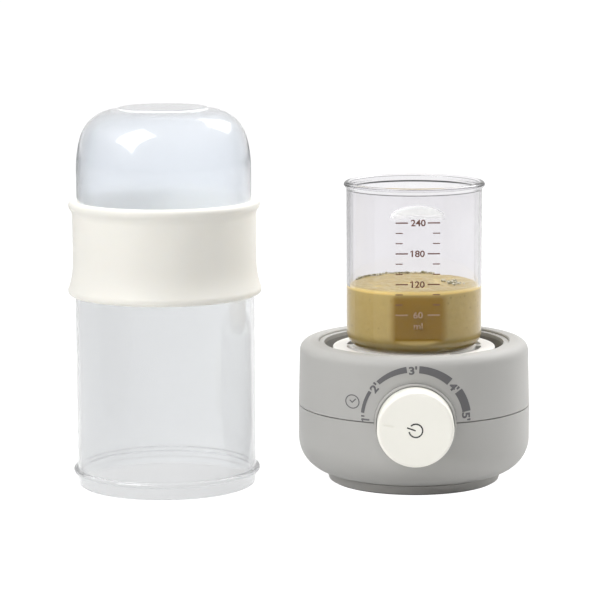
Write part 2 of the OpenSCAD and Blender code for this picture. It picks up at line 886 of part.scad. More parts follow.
module hood_sleeve() color("#dfe1e4") {
  inner = sleeve_r - hood_wall;
  at_hood() rotate_extrude() {
    polygon([[inner - skirt_in + skirt_thin, 0], [sleeve_r - skirt_in, 0], [sleeve_r, skirt_h],
             [sleeve_r, neck_z - neck_in], [neck_r, neck_z], [neck_r, sleeve_h],
             [neck_r - hood_wall, sleeve_h], [neck_r - hood_wall, neck_z - neck_thick],
             [inner, neck_z - neck_in - neck_thick], [inner, skirt_h]]);
    // bead that rests on the base's ledge
    translate([sleeve_r - bead_root, skirt_h]) square([bead_r - bead_t / 2 - sleeve_r + bead_root, bead_t]);
    translate([bead_r - bead_t / 2, skirt_h + bead_t / 2]) circle(r = bead_t / 2);
  }
}

module hood_band() color("#eceae4") {
  waist_r = lip_out - band_waist;
  rib_r = neck_r - hood_wall;
  dome_gap_r = dome_r + lift_gap;
  low_z = band_low + lip_low_r;
  flare_z = low_z + lip_land + flare_h;
  flare = (flare_h * flare_h + band_waist * band_waist) / (2 * band_waist);
  lip_x = lip_out - lip_back - lip_top_r;
  lip_z = band_top - lip_top_r;
  // the hollow under the top lip runs smoothly into the waist and into the lip
  hollow_x = waist_r + lip_hollow;
  hollow_z = lip_z - sqrt(pow(lip_hollow + lip_top_r, 2) - pow(hollow_x - lip_x, 2));
  share = lip_top_r / (lip_top_r + lip_hollow);
  join_x = lip_x + share * (hollow_x - lip_x);
  join_z = lip_z + share * (hollow_z - lip_z);
  at_hood() rotate_extrude() difference() {
    union() {
      difference() {
        polygon([[rib_r - over, low_z], [lip_out, low_z], [lip_out, flare_z], [join_x, join_z],
                 [lip_x, lip_z], [rib_r - over, lip_z]]);
        translate([waist_r + flare, flare_z]) circle(r = flare, $fn = 360);
        translate([waist_r, flare_z]) square([band_waist + over, hollow_z - flare_z]);
        translate([hollow_x, hollow_z]) circle(r = lip_hollow);
      }
      translate([lip_out - lip_low_r, low_z]) circle(r = lip_low_r);
      translate([neck_r, band_low]) square([lip_out - lip_low_r - neck_r, 2 * lip_low_r]);
      translate([lip_x, lip_z]) circle(r = lip_top_r);
    }
    // seat on the sleeve's neck, up to the rib
    polygon([[0, band_low - over], [sleeve_r + neck_gap, band_low - over],
             [sleeve_r + neck_gap, neck_z - neck_in], [neck_r + neck_gap, neck_z],
             [neck_r + neck_gap, sleeve_h], [0, sleeve_h]]);
    translate([0, sleeve_h - over]) square([rib_r, rib_t + 2 * over]);
    // seat of the dome above the rib
    translate([0, dome_low]) square([dome_gap_r, band_top + over - dome_low]);
  }
}

module hood_dome() color("#dbe0e9") {
  at_hood() rotate_extrude() difference() {
    union() {
      dome_form(0, dome_low);
      translate([0, dome_top - hood_wall]) square([disc_r, hood_wall + disc_t]);
    }
    dome_form(hood_wall, dome_low - over);
  }
}

upper_housing();
lower_housing();
foot_plate();
foot_ring();
foot_screws();
knob_bezel();
steam_well();
bowl_gasket();
steam_bowl();
bowl_clamp();
clamp_screws();
heater();
thermostat();
thermal_fuse();
heater_leads();
control_board();
board_parts();
encoder();
encoder_nut();
cord_gland();
switch_plunger();
knob_shaft();
knob();
steam_grid();
beaker();
puree();
hood_sleeve();
hood_band();
hood_dome();
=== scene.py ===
import math

import bpy
from mathutils import Matrix, Vector, noise


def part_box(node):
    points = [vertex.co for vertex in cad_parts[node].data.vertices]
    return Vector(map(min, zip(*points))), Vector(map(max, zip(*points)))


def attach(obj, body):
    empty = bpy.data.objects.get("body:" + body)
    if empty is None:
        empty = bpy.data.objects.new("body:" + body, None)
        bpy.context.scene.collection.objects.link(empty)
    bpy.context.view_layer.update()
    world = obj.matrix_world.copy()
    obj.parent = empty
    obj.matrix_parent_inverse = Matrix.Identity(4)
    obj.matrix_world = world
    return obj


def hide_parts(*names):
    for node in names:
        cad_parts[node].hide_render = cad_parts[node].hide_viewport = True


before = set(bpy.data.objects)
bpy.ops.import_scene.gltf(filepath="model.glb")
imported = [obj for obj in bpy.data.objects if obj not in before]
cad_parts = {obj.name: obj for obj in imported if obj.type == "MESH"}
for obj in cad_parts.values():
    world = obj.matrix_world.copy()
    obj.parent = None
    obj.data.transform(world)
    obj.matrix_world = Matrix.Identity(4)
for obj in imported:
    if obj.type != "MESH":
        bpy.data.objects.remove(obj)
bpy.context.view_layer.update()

bl_info = {
    "name": "Steam Bottle Warmer",
    "version": (1, 0, 0),
    "blender": (4, 5, 0),
    "location": "3D View > Sidebar > Warmer",
    "description": "Builds the hood, glass, puree, prints and finishes of a steam bottle warmer",
    "category": "Object",
}

MM = 0.001
# the colour sockets of a Mix node go by number: its two inputs and its output
FIRST, SECOND, MIXED = 6, 7, 2
WHITE = (1, 1, 1, 1)


def srgb(hex_code):
    """Turns a hex colour into linear RGB."""
    parts = [int(hex_code.lstrip("#")[i:i + 2], 16) / 255 for i in (0, 2, 4)]
    return tuple(c / 12.92 if c <= 0.04045 else ((c + 0.055) / 1.055) ** 2.4 for c in parts)


def shade(colour, factor=1.0):
    """A linear colour made lighter or darker, with the alpha that a socket takes."""
    return tuple(min(1, c * factor) for c in colour) + (1,)


def middle(node):
    """The centre of a node's box, in millimetres."""
    low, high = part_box(node)
    return (low + high) / 2 / MM


# Sizes

class WarmerSizes(bpy.types.PropertyGroup):
    """Sizes of the pieces that are modelled here"""
    steps: bpy.props.IntProperty(
        name="Turning steps", description="Faces round a turned piece", default=192, min=48, max=256)
    hood_wall: bpy.props.FloatProperty(
        name="Hood wall", description="Wall of the sleeve and the dome", default=1.7 * MM, unit="LENGTH")
    glass_wall: bpy.props.FloatProperty(
        name="Glass wall", description="Wall of the beaker", default=1.7 * MM, unit="LENGTH")
    panel_depth: bpy.props.FloatProperty(
        name="Panel depth", description="Depth of the flat behind the scale", default=2.4 * MM, unit="LENGTH")
    panel_turn: bpy.props.FloatProperty(
        name="Panel turn", description="How far the beaker is turned on its stand",
        default=math.radians(2.6), subtype="ANGLE", unit="ROTATION")
    ink: bpy.props.FloatProperty(
        name="Ink height", description="Height of a print over its surface", default=0.06 * MM, unit="LENGTH")


class WarmerColours(bpy.types.PropertyGroup):
    """Colours of the finishes"""
    shell: bpy.props.FloatVectorProperty(
        name="Housing", description="Grey of the two housings", subtype="COLOR", default=srgb("#b1b0ad"))
    foot: bpy.props.FloatVectorProperty(
        name="Foot", description="Grey of the foot", subtype="COLOR", default=srgb("#b4b2ae"))
    knob: bpy.props.FloatVectorProperty(
        name="Knob", description="Warm white of the knob", subtype="COLOR", default=srgb("#f6f4eb"))
    band: bpy.props.FloatVectorProperty(
        name="Band", description="Warm white of the silicone band", subtype="COLOR", default=srgb("#e8e6df"))
    sleeve: bpy.props.FloatVectorProperty(
        name="Sleeve", description="Tint of the clear sleeve", subtype="COLOR", default=srgb("#e8e9ea"))
    dome: bpy.props.FloatVectorProperty(
        name="Dome", description="Tint of the clear dome", subtype="COLOR", default=srgb("#f2f5f9"))
    puree: bpy.props.FloatVectorProperty(
        name="Puree", description="Colour of the puree", subtype="COLOR", default=srgb("#b29d60"))
    # painted shade: the puree behind the flat is drawn darker, for the dark room that the flat mirrors
    painted_shade_behind_flat: bpy.props.FloatVectorProperty(
        name="Puree behind the flat", description="Darker puree where the flat presses on it",
        subtype="COLOR", default=srgb("#8b6a08"))
    dial_ink: bpy.props.FloatVectorProperty(
        name="Dial ink", description="Grey of the dial's print", subtype="COLOR", default=srgb("#626163"))
    scale_ink: bpy.props.FloatVectorProperty(
        name="Scale ink", description="Brown of the beaker's scale", subtype="COLOR", default=srgb("#6b4538"))
    low_ink: bpy.props.FloatVectorProperty(
        name="Low scale ink", description="Paler brown of the scale in front of the puree",
        subtype="COLOR", default=srgb("#a98d72"))


def sizes():
    """The sizes that the scene holds."""
    return bpy.context.scene.warmer_sizes


def colours():
    """The colours that the scene holds."""
    return bpy.context.scene.warmer_colours


# Materials

def add(tree, kind, settings=None):
    """Adds a node. A setting is a property, an input's constant, or a socket that feeds an input."""
    node = tree.nodes.new(kind)
    for key, value in (settings or {}).items():
        if isinstance(value, bpy.types.NodeSocket):
            tree.links.new(value, node.inputs[key])
        elif isinstance(key, int) or key in node.inputs:
            node.inputs[key].default_value = value
        else:
            setattr(node, key, value)
    return node


def new_material(name):
    """A new material, and its empty tree."""
    made = bpy.data.materials.new(name)
    made.use_nodes = True
    made.node_tree.nodes.clear()
    return made, made.node_tree


def mask(tree, *ranges):
    """One where each socket lies between its two values, fading out over its soft margin. None leaves an end
    open."""
    whole = 1.0
    for value, low, high, soft in ranges:
        for edge, before, after in ((low, 0.0, 1.0), (high, 1.0, 0.0)):
            if edge is None:
                continue
            step = add(tree, "ShaderNodeMapRange", {
                "interpolation_type": "SMOOTHSTEP", "Value": value, "From Min": edge - soft,
                "From Max": edge + soft, "To Min": before, "To Max": after})
            whole = add(tree, "ShaderNodeMath", {
                "operation": "MULTIPLY", 0: whole, 1: step.outputs["Result"]}).outputs[0]
    return whole


def painted(tree, colour, *layers):
    """A colour with others laid over it in turn, each through its mask. All are constants or sockets."""
    for cover, over in layers:
        colour = add(tree, "ShaderNodeMix", {
            "data_type": "RGBA", "Factor": cover, FIRST: colour, SECOND: over}).outputs[MIXED]
    return colour


def moulded(name, colour, roughness, grain_mm, height_mm, spread, more=None):
    """A moulded plastic or rubber: a fine grain from the mould, and slight unevenness in colour and gloss.
    The grain is drawn coarser than a real one, so that it shows. More holds other settings of its shader."""
    made, tree = new_material(name)
    place = add(tree, "ShaderNodeTexCoord").outputs["Object"]
    grain = add(tree, "ShaderNodeTexNoise", {"Vector": place, "Scale": 1 / (grain_mm * MM), "Detail": 2.0})
    cloud = add(tree, "ShaderNodeTexNoise", {"Vector": place, "Scale": 1 / (18 * MM), "Detail": 3.0})
    cloud = cloud.outputs["Fac"]
    gloss = add(tree, "ShaderNodeMapRange", {
        "Value": cloud, "To Min": roughness - 0.05, "To Max": roughness + 0.05})
    bump = add(tree, "ShaderNodeBump", {
        "Height": grain.outputs["Fac"], "Strength": 0.5, "Distance": height_mm * MM})
    shader = add(tree, "ShaderNodeBsdfPrincipled", {
        "Base Color": painted(tree, shade(colour, 1 - spread), (cloud, shade(colour, 1 + spread))),
        "Roughness": gloss.outputs["Result"], "Normal": bump.outputs["Normal"], "IOR": 1.5, **(more or {})})
    add(tree, "ShaderNodeOutputMaterial", {"Surface": shader.outputs["BSDF"]})
    return made


def clear_hood(name, colour, slope, haze, polish, marks):
    """Clear polypropylene, moulded and glossy: a milky body under a polished skin. Its tint is painted paler
    towards the right, painted light for the lamps behind that side. It has marks: frosted patches, and
    painted lines of shade and of highlight. A mark is a pair of heights, the place behind which it shows, its
    grey and its clearness."""
    made, tree = new_material(name)
    place = add(tree, "ShaderNodeTexCoord").outputs["Object"]
    x, y, z = add(tree, "ShaderNodeSeparateXYZ", {"Vector": place}).outputs
    cloud = add(tree, "ShaderNodeTexNoise", {"Vector": place, "Scale": 1 / (35 * MM), "Detail": 2.0})
    ripple = add(tree, "ShaderNodeTexNoise", {"Vector": place, "Scale": 1 / (12 * MM), "Detail": 1.0})
    rough = add(tree, "ShaderNodeMapRange", {
        "Value": cloud.outputs["Fac"], "To Min": haze - 0.03, "To Max": haze + 0.03})
    skin = add(tree, "ShaderNodeBump", {
        "Height": ripple.outputs["Fac"], "Strength": 0.15, "Distance": 0.1 * MM})
    # painted light: the tint grows paler across the piece towards the right
    centre, reach = middle("hood_sleeve").x, 47
    across = add(tree, "ShaderNodeMapRange", {
        "Value": x, "From Min": (centre - reach) * MM, "From Max": (centre + reach) * MM})
    layers = [(across.outputs["Result"], shade(colour, 1 + slope))]
    through = 0.92
    for low, high, front, grey, clear in marks:
        mark = mask(tree, (z, low * MM, high * MM, 0.2 * MM), (y, front * MM, None, 2 * MM))
        layers.append((mark, (grey, grey, grey, 1)))
        through = add(tree, "ShaderNodeMapRange", {
            "Value": mark, "To Min": through, "To Max": clear}).outputs["Result"]
    shader = add(tree, "ShaderNodeBsdfPrincipled", {
        "Base Color": painted(tree, shade(colour, 1 - slope), *layers), "Roughness": rough.outputs["Result"],
        "Transmission Weight": through, "IOR": 1.4, "Coat Weight": polish, "Coat Roughness": 0.06,
        "Coat Normal": skin.outputs["Normal"]})
    add(tree, "ShaderNodeOutputMaterial", {"Surface": shader.outputs["BSDF"]})
    return made


def clear_glass(name, arch, top):
    """Pressed soda glass: clear, with slight ripple, painted grey lines of shade along its rolled rim, and a
    painted highlight over the flat: a matt white arch that catches the light."""
    made, tree = new_material(name)
    place = add(tree, "ShaderNodeTexCoord").outputs["Object"]
    _, y, z = add(tree, "ShaderNodeSeparateXYZ", {"Vector": place}).outputs
    ripple = add(tree, "ShaderNodeTexNoise", {"Vector": place, "Scale": 1 / (14 * MM), "Detail": 1.0})
    bump = add(tree, "ShaderNodeBump", {
        "Height": ripple.outputs["Fac"], "Strength": 0.08, "Distance": 0.1 * MM})
    # the painted highlight: a matt white arch, half of a flat ball, brightest along its upper edge
    half_size = (15, 9, 6.8)
    ball = add(tree, "ShaderNodeMapping", {
        "vector_type": "TEXTURE", "Vector": place, "Location": tuple(c * MM for c in arch),
        "Scale": tuple(c * MM for c in half_size)})
    ball = add(tree, "ShaderNodeTexGradient", {
        "gradient_type": "SPHERICAL", "Vector": ball.outputs["Vector"]})
    # the arch is painted white, matt and nearly opaque
    matt = mask(tree, (ball.outputs["Fac"], 0.06, None, 0.05), (z, (arch[2] + 0.4) * MM, None, 2.4 * MM))
    clear = add(tree, "ShaderNodeMapRange", {"Value": matt, "To Min": 1.0, "To Max": 0.05})
    rough = add(tree, "ShaderNodeMapRange", {"Value": matt, "To Min": 0.0, "To Max": 0.35})
    # painted shade: grey lines along the top and the foot of the rolled rim
    rim_top_painted_shade = mask(tree, (z, (top - 1.1) * MM, (top - 0.7) * MM, 0.15 * MM))
    rim_foot = mask(tree, (z, (top - 4.1) * MM, (top - 3.6) * MM, 0.2 * MM))
    rim = add(tree, "ShaderNodeMath", {"operation": "MAXIMUM", 0: rim_top_painted_shade, 1: rim_foot}).outputs[0]
    # a darker line of painted shade is drawn at the foot of the rim, on its far side
    far_rim_painted_shade = mask(tree, (z, (top - 4.2) * MM, (top - 3.4) * MM, 0.2 * MM), (y, 22 * MM, None, 10 * MM))
    tint = painted(tree, shade(srgb("#eeedef")), (rim, shade(srgb("#7e7e80"))), (far_rim_painted_shade, shade(srgb("#404042"))),
                   (matt, WHITE))
    shader = add(tree, "ShaderNodeBsdfPrincipled", {
        "Base Color": tint, "Roughness": rough.outputs["Result"], "Normal": bump.outputs["Normal"],
        "Transmission Weight": clear.outputs["Result"], "IOR": 1.47})
    add(tree, "ShaderNodeOutputMaterial", {"Surface": shader.outputs["BSDF"]})
    return made


def wet_puree(name, colour, painted_shade_behind_flat, low, top):
    """Vegetable puree: soft fibres and flecks, a wet skin, a pale edge of painted light along the glass, and
    a darker patch of painted shade behind the flat, for the dark room that the flat mirrors."""
    made, tree = new_material(name)
    place = add(tree, "ShaderNodeTexCoord").outputs["Object"]
    x, y, z = add(tree, "ShaderNodeSeparateXYZ", {"Vector": place}).outputs
    pulp = add(tree, "ShaderNodeTexNoise", {"Vector": place, "Scale": 1 / (3 * MM), "Detail": 5.0})
    pulp = pulp.outputs["Fac"]
    flecks = add(tree, "ShaderNodeTexVoronoi", {"Vector": place, "Scale": 1 / (4 * MM)})
    between_flecks = add(tree, "ShaderNodeMapRange", {
        "Value": flecks.outputs["Distance"], "From Min": 0.08, "From Max": 0.14})
    bump = add(tree, "ShaderNodeBump", {"Height": pulp, "Strength": 0.4, "Distance": 0.4 * MM})
    # a darker patch of painted shade behind the flat, for the dark room that it mirrors
    left, right, front = -11.5 * MM, 15.5 * MM, -25 * MM
    painted_shade_patch = mask(tree, (x, left, right, 2.4 * MM), (y, None, front, 2 * MM),
                 (z, (low + 4) * MM, (top - 3) * MM, 1.8 * MM))
    # painted light: the puree is drawn paler along its top edge
    edge = mask(tree, (z, (top - 2.2) * MM, None, 0.5 * MM))
    open_top = mask(tree, (z, (top - 0.5) * MM, None, 0.4 * MM))
    dried = shade(c * part for c, part in zip(colour, (0.8, 0.81, 0.92)))
    body = painted(tree, shade(colour, 0.86), (pulp, shade(colour, 1.12)))
    tint = painted(tree, shade(colour, 0.6), (between_flecks.outputs["Result"], body), (painted_shade_patch, shade(painted_shade_behind_flat)),
                   (edge, shade(colour, 1.48)), (open_top, dried))
    wet = add(tree, "ShaderNodeMapRange", {"Value": open_top, "To Min": 0.05, "To Max": 0.5})
    shader = add(tree, "ShaderNodeBsdfPrincipled", {
        "Base Color": tint, "Roughness": 0.38, "Normal": bump.outputs["Normal"], "IOR": 1.38,
        "Specular IOR Level": wet.outputs["Result"], "Subsurface Weight": 0.25,
        "Subsurface Radius": (3 * MM, 2 * MM, 0.8 * MM), "Subsurface Scale": 1.0})
    add(tree, "ShaderNodeOutputMaterial", {"Surface": shader.outputs["BSDF"]})
    return made


def wet_foam(name):
    """Bubbles on the puree: thin wet skins that glint, with pale spots that are partly the foam's own colour
    and partly painted glints.
    """
    made, tree = new_material(name)
    place = add(tree, "ShaderNodeTexCoord").outputs["Object"]
    # pale spots over a dark foam colour: partly the foam's own, partly painted glints
    cloud = add(tree, "ShaderNodeTexNoise", {"Vector": place, "Scale": 1 / (2 * MM), "Detail": 2.0})
    cloud = add(tree, "ShaderNodeMapRange", {"Value": cloud.outputs["Fac"], "From Min": 0.4, "From Max": 0.6})
    tint = painted(tree, shade(srgb("#7d7443")), (cloud.outputs["Result"], shade(srgb("#e9e4cf"))))
    shader = add(tree, "ShaderNodeBsdfPrincipled", {
        "Base Color": tint, "Roughness": 0.12, "Transmission Weight": 0.3, "IOR": 1.34})
    add(tree, "ShaderNodeOutputMaterial", {"Surface": shader.outputs["BSDF"]})
    return made


def ink(name, colour):
    """Printed ink: thin, matt, with a slightly uneven film."""
    return moulded(name, colour, roughness=0.55, grain_mm=0.25, height_mm=0.004, spread=0.06)


def steel(name, colour, roughness):
    """Drawn or plated steel with rubbing marks, drawn coarser than real ones so that they show."""
    made, tree = new_material(name)
    place = add(tree, "ShaderNodeTexCoord").outputs["Object"]
    rubbed = add(tree, "ShaderNodeTexNoise", {"Vector": place, "Scale": 1 / (0.6 * MM), "Detail": 3.0})
    rough = add(tree, "ShaderNodeMapRange", {
        "Value": rubbed.outputs["Fac"], "To Min": roughness - 0.06, "To Max": roughness + 0.08})
    shader = add(tree, "ShaderNodeBsdfPrincipled", {
        "Base Color": shade(colour), "Roughness": rough.outputs["Result"], "Metallic": 1.0})
    add(tree, "ShaderNodeOutputMaterial", {"Surface": shader.outputs["BSDF"]})
    return made


# Modelling helpers

def arc(cx, cz, radius, start, end, count):
    """Points on an arc in a half section, angles in degrees."""
    turn = [math.radians(start + (end - start) * i / count) for i in range(count + 1)]
    return [(cx + radius * math.cos(a), cz + radius * math.sin(a)) for a in turn]


def line(a, b, count):
    """Points from one corner of a half section to the next, without the first."""
    return [(a[0] + (b[0] - a[0]) * i / count, a[1] + (b[1] - a[1]) * i / count) for i in range(1, count + 1)]


def select_nothing():
    """Leaves edit mode and deselects every piece."""
    if bpy.context.mode != "OBJECT":
        bpy.ops.object.mode_set(mode="OBJECT")
    bpy.ops.object.select_all(action="DESELECT")


def start_edit(add_primitive, name, **settings):
    """Adds a primitive on its own, names it and opens it for editing with everything selected."""
    select_nothing()
    add_primitive(**settings)
    piece = bpy.context.active_object
    piece.name = name
    piece.data.name = name
    bpy.ops.object.mode_set(mode="EDIT")
    bpy.ops.mesh.select_all(action="SELECT")
    return piece


def end_edit(piece, material, smooth):
    """Closes a piece: place into its mesh, smooth shading up to an angle, and its material."""
    select_nothing()
    piece.select_set(True)
    bpy.context.view_layer.objects.active = piece
    bpy.ops.object.transform_apply(location=True, rotation=True, scale=True)
    if smooth:
        bpy.ops.object.shade_smooth_by_angle(angle=math.radians(smooth))
    piece.data.materials.clear()
    piece.data.materials.append(material)


def face_outwards(merge=None):
    """Turns the active piece's faces outwards, after merging its points that lie within a distance."""
    bpy.ops.object.mode_set(mode="EDIT")
    bpy.ops.mesh.select_all(action="SELECT")
    if merge:
        bpy.ops.mesh.remove_doubles(threshold=merge)
    bpy.ops.mesh.normals_make_consistent(inside=False)
    bpy.ops.object.mode_set(mode="OBJECT")


def turned(name, profile, centre, steps=None):
    """A turned piece: its half section is drawn by extruding a corner, then spun round the upright axis."""
    cx, cy = centre[0] * MM, centre[1] * MM
    piece = start_edit(bpy.ops.mesh.primitive_plane_add, name, size=2 * MM)
    bpy.ops.mesh.merge(type="CENTER")
    bpy.ops.transform.translate(value=(cx + profile[0][0] * MM, cy, profile[0][1] * MM))
    for a, b in zip(profile, profile[1:]):
        step = ((b[0] - a[0]) * MM, 0, (b[1] - a[1]) * MM)
        bpy.ops.mesh.extrude_region_move(TRANSFORM_OT_translate={"value": step})
    bpy.ops.mesh.select_all(action="SELECT")
    bpy.ops.mesh.spin(steps=steps or sizes().steps, angle=2 * math.pi, center=(cx, cy, 0), axis=(0, 0, 1))
    face_outwards(merge=0.002 * MM)
    return piece


def finish(piece, material, body, replaced=None, smooth=35):
    """Closes a piece and ties it to the body that carries it."""
    end_edit(piece, material, smooth)
    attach(piece, body)
    if replaced:
        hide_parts(replaced)


def let_light_in(piece):
    """Stops a clear or milky piece from throwing a solid shadow on what it holds."""
    piece.visible_shadow = False


def joined(name, pieces):
    """Joins pieces into one of that name."""
    select_nothing()
    for piece in pieces:
        piece.select_set(True)
    bpy.context.view_layer.objects.active = pieces[0]
    bpy.ops.object.join()
    whole = bpy.context.active_object
    whole.name = name
    whole.data.name = name
    return whole


def coat(material, *nodes):
    """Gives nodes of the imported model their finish."""
    for node in nodes:
        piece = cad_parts[node]
        piece.data.materials.clear()
        piece.data.materials.append(material)


# Pieces of the hood

class WARMER_OT_sleeve(bpy.types.Operator):
    """Turn the clear sleeve with its skirt, bead and neck"""
    bl_idname = "warmer.sleeve"
    bl_label = "Sleeve"

    def execute(self, context):
        wall = sizes().hood_wall / MM
        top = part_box("hood_sleeve")[1].z / MM
        r, neck, shoulder, lip = 47.3, 45.7, 105.15, 0.5
        foot_r, foot_edge, foot_bore = 46.2, 0.6, 45.4
        bead_r, bead_z, bead = 48.3, 7.8, 1.3
        bead_foot, bead_top = bead_z - bead, bead_z + bead
        # up the outside: the foot, the skirt, the bead, the wall and the neck
        profile = arc(foot_r, foot_edge, foot_edge, 270, 360, 4)
        profile += line(profile[-1], (r + 0.3, bead_foot - 0.3), 6)
        profile += arc(bead_r, bead_z, bead, -90, 90, 14)
        profile += [(r + 0.3, bead_top + 0.02), (r + 0.08, bead_top + 0.2), (r, bead_top + 0.6)]
        profile += line(profile[-1], (r, shoulder - 0.4), 24)
        profile += [(r - 0.15, shoulder), (neck + 0.12, shoulder + 1.5), (neck, shoulder + 1.9)]
        profile += line(profile[-1], (neck, top - lip), 6)
        profile += arc(neck - lip, top - lip, lip, 0, 90, 4)[1:]
        # back down the inside
        profile += arc(neck - wall + lip, top - lip, lip, 90, 180, 4)
        profile += line(profile[-1], (neck - wall, shoulder + 0.9), 6)
        profile += line(profile[-1], (r - wall, shoulder - 0.8), 2)
        profile += line(profile[-1], (r - wall, bead_foot), 24)
        profile += line(profile[-1], (foot_bore, 0.5), 5)
        profile += [(foot_bore + 0.2, 0.12), (foot_r, 0.0)]
        piece = turned("sleeve_shell", profile, middle("hood_sleeve"))
        let_light_in(piece)
        # two fine grey lines are painted on the far side, over the bead and inside the skirt: painted shade
        # for the far edges seen through the clear wall
        back = middle("hood_sleeve").y + 5
        marks = [(low, low + 0.5, back, 0.6, 0.92) for low in (bead_top, bead_foot - 3)]
        clear = clear_hood("clear polypropylene, sleeve", colours().sleeve, slope=0.045, haze=0.09,
                           polish=0.3, marks=marks)
        finish(piece, clear, "hood", "hood_sleeve")
        return {"FINISHED"}


class WARMER_OT_band(bpy.types.Operator):
    """Turn the waisted silicone band with its soft lips"""
    bl_idname = "warmer.band"
    bl_label = "Silicone Band"

    def execute(self, context):
        low, high = (corner.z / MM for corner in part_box("hood_band"))
        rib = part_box("hood_sleeve")[1].z / MM
        out, waist, edge, flare_h = 51.0, 48.4, 1.95, 14.3
        lip_x, lip_r, hollow = 47.7, 2.7, 7.0
        sleeve_bore, neck_bore, dome_bore, rib_bore = 47.4, 45.8, 46.1, 44.0
        # the lower lip
        profile = [(sleeve_bore, low + 0.4), (sleeve_bore + 0.4, low)]
        profile += arc(out - edge, low + edge, edge, 270, 360, 8)
        # the flare, from the lower lip's land up to the waist
        flare_z = low + edge + 1 + flare_h
        flare = (flare_h ** 2 + (out - waist) ** 2) / (2 * (out - waist))
        turn = math.degrees(math.asin(flare_h / flare))
        profile += arc(waist + flare, flare_z, flare, 180 + turn, 180, 16)
        # the hollow under the top lip, then the lip itself
        lip_z = high - lip_r
        turn = math.degrees(math.acos((waist + hollow - lip_x) / (lip_r + hollow)))
        hollow_z = lip_z - (lip_r + hollow) * math.sin(math.radians(turn))
        profile += line(profile[-1], (waist, hollow_z), 12)
        profile += arc(waist + hollow, hollow_z, hollow, 180, 180 - turn, 10)[1:]
        profile += arc(lip_x, lip_z, lip_r, -turn, 126, 18)[1:]
        # back down the inside, over the rib between the dome's seat and the sleeve's
        profile += line(profile[-1], (dome_bore, rib + 1.5), 10)
        profile += [(rib_bore, rib + 1.5), (rib_bore, rib), (neck_bore, rib)]
        profile += line(profile[-1], (neck_bore, low + 5), 8)
        profile += line(profile[-1], (sleeve_bore, low + 3.4), 2)
        profile += line(profile[-1], (sleeve_bore, low + 0.4), 2)
        piece = turned("band_ring", profile, middle("hood_band"))
        let_light_in(piece)
        milky = {"Subsurface Weight": 0.2, "Subsurface Radius": (2 * MM, 1.8 * MM, 1.5 * MM),
                 "Subsurface Scale": 1.0}
        silicone = moulded("silicone rubber, moulded matt", colours().band, roughness=0.5, grain_mm=0.5,
                           height_mm=0.012, spread=0.015, more=milky)
        finish(piece, silicone, "hood", "hood_band")
        return {"FINISHED"}


class WARMER_OT_dome(bpy.types.Operator):
    """Turn the clear dome with the crisp disc on its top"""
    bl_idname = "warmer.dome"
    bl_label = "Dome"

    def execute(self, context):
        wall = sizes().hood_wall / MM
        low, high = (corner.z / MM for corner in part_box("hood_dome"))
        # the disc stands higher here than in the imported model, so that its edge shows
        packed_rise, rise, lip = 0.4, 1.1, 0.5
        top = high - packed_rise
        r, corner, soft = 46.0, 20.0, 60.0
        # a soft curve leads from the straight side into the corner's curve
        sine, cosine = 7 / 25, 24 / 25
        turn = math.degrees(math.asin(sine))
        soft_x, cz = r - soft, top - corner
        cx, soft_z = soft_x + (soft - corner) * cosine, cz - (soft - corner) * sine
        disc, disc_top = cx - 0.9, top + rise
        profile = [(0, disc_top)] + line((0, disc_top), (disc - 0.5, disc_top), 8)
        profile += [(disc - 0.15, disc_top - 0.1), (disc + 0.3, top + 0.15)]
        profile += [(disc + 0.5, top + 0.02), (cx, top)]
        profile += arc(cx, cz, corner, 90, turn, 26)[1:]
        profile += arc(soft_x, soft_z, soft, turn, 0, 10)[1:]
        profile += line(profile[-1], (r, low + lip), 16)
        profile += arc(r - lip, low + lip, lip, 0, -90, 4)[1:]
        # back up the inside
        profile += arc(r - wall + lip, low + lip, lip, -90, -180, 4)
        profile += line(profile[-1], (r - wall, soft_z), 16)
        profile += arc(soft_x, soft_z, soft - wall, 0, turn, 10)[1:]
        profile += arc(cx, cz, corner - wall, turn, 90, 26)[1:]
        profile += line(profile[-1], (0, top - wall), 8)
        piece = turned("dome_shell", profile, middle("hood_dome"))
        let_light_in(piece)
        # the disc is frosted, and its slanted edge is painted white and matt: a painted highlight that
        # catches the light
        everywhere = -100
        marks = [(disc_top, disc_top + 5, everywhere, 0.72, 0.3),
                 (top + 0.05, disc_top - 0.3, everywhere, 1.0, 0.0)]
        clear = clear_hood("clear polypropylene, dome", colours().dome, slope=0.03, haze=0.25,
                           polish=0.9, marks=marks)
        finish(piece, clear, "lid", "hood_dome")
        return {"FINISHED"}


# Beaker and puree

# the beaker's place on the base's axis, and the radii of its wall and of the ring that it stands on
BEAKER_AXIS, BEAKER_R, STAND_R = (0, 0), 35.9, 26


def panel_front(x, z, radius, low, top):
    """Distance of a beaker wall's front from the axis, with the flat behind the scale pressed into it."""
    depth = sizes().panel_depth / MM
    soft, upper_run, lower_run = 0.3, 6.5, 2.6
    wall = math.sqrt(max(0.0, radius * radius - x * x))
    # the flat runs out in a slope above and a shorter one below
    flat = radius - depth + max(0.0, z - top) * depth / upper_run + max(0.0, low - z) * depth / lower_run
    h = min(1.0, max(0.0, 0.5 + 0.5 * (flat - wall) / soft))
    return flat + (wall - flat) * h - soft * h * (1 - h)


def press_panel(piece, low, top, inner=None):
    """Presses the flat into the front of a turned piece, outside its stand or, less and less, from its wall
    to an inner radius."""
    turn = Matrix.Rotation(sizes().panel_turn, 3, "Z")
    back = turn.transposed()
    rim = max(math.hypot(v.co.x, v.co.y) for v in piece.data.vertices) / MM
    for v in piece.data.vertices:
        x, y, z = (back @ v.co) / MM
        r = math.hypot(x, y)
        if y < 0 and r > (inner or STAND_R):
            share = (r - inner) / (rim - inner) if inner else 1.0
            v.co = turn @ (Vector((x, y + (-panel_front(x, z, r, low, top) - y) * share, z)) * MM)


